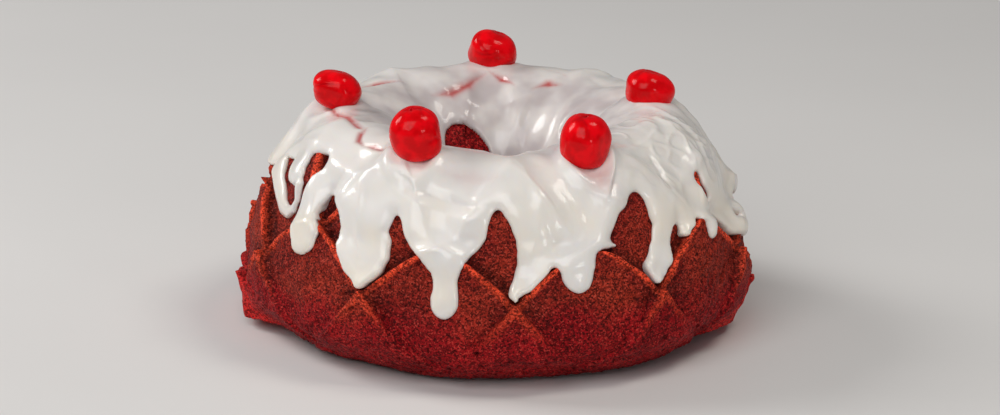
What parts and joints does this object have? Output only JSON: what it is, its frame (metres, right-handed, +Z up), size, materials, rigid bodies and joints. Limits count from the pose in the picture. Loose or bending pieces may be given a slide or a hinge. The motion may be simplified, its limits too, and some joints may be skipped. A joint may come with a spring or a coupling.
{
  "type": "bundt cake",
  "caption": "Round ring cake with a raised diamond lattice, poured white icing that runs down in drips, and cherries on top.",
  "frame": {"origin": "middle of the underside, on the ring's axis", "axes": "+Z up along the ring's axis; one crossing of the diamond lattice faces -Y"},
  "size_m": [0.2365, 0.2385, 0.1208],
  "materials": {
    "sponge": "baked red sponge with a fine open crumb, browner on its flat faces",
    "icing": "glossy warm off-white poured icing",
    "cherry": "wet glossy red, slightly see-through"
  },
  "bodies": {
    "root": {"cake": "sponge", "icing": "icing", "cherry_1": "cherry", "cherry_2": "cherry", "cherry_3": "cherry", "cherry_4": "cherry", "cherry_5": "cherry"}
  },
  "joints": []
}
